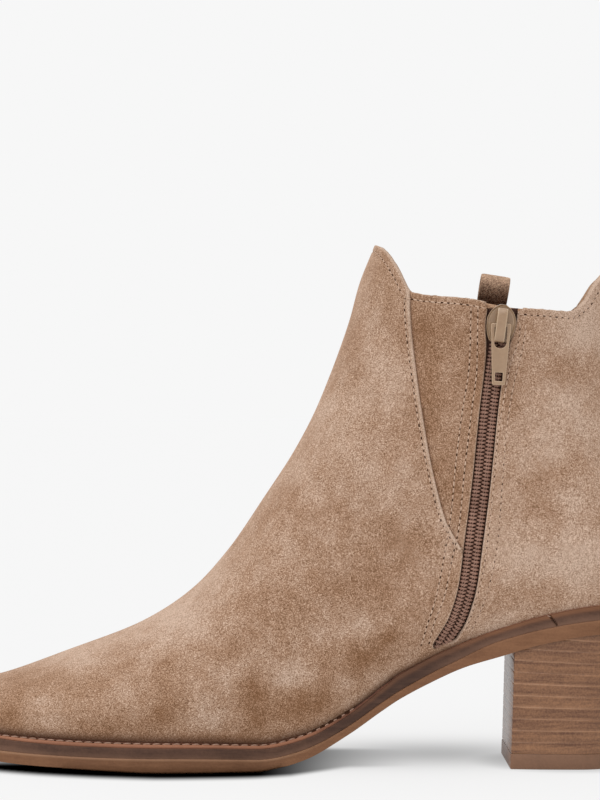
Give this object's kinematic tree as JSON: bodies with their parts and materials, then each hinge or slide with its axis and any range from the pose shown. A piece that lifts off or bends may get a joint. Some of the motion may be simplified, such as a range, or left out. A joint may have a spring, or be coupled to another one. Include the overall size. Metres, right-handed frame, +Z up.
{
  "type": "western ankle boot",
  "caption": "Right suede ankle boot with a pointed toe, peaked collar, inside zip with a swinging pull tab, pull loop, welted sole and stacked block heel.",
  "frame": {"origin": "on the floor, under the middle of the boot's length and width", "axes": "+X from the toe to the heel, -Y to the inner side with the zip, +Z up"},
  "size_m": [0.266, 0.091, 0.1792],
  "materials": {
    "suede": "napped suede",
    "welt_rust": "waxed edge",
    "edge_dark": "dark polished edge",
    "sole_tan": "satin",
    "insole_beige": "plain",
    "heel_stack": "stacked layers, satin",
    "lift_tan": "matt",
    "zip_brown": "coil and tape",
    "zip_metal": "satin",
    "strap_brown": "woven"
  },
  "bodies": {
    "boot": {"upper": "suede", "welt": "welt_rust", "midsole": "edge_dark", "outsole": "sole_tan", "insole": "insole_beige", "heel": "heel_stack", "heel_lift": "lift_tan", "zip_chain": "zip_brown", "zip_slider": "zip_metal", "pull_loop": "strap_brown"},
    "zip_pull": {"zip_pull": "zip_metal"}
  },
  "joints": [
    {"name": "zip_pull_swing", "type": "hinge", "parent": "boot", "child": "zip_pull", "pos_m": [0.07576, -0.0342, 0.15072], "axis": [-0.9988, 0.0192, 0.0446], "range_deg": [0, 170]}
  ]
}
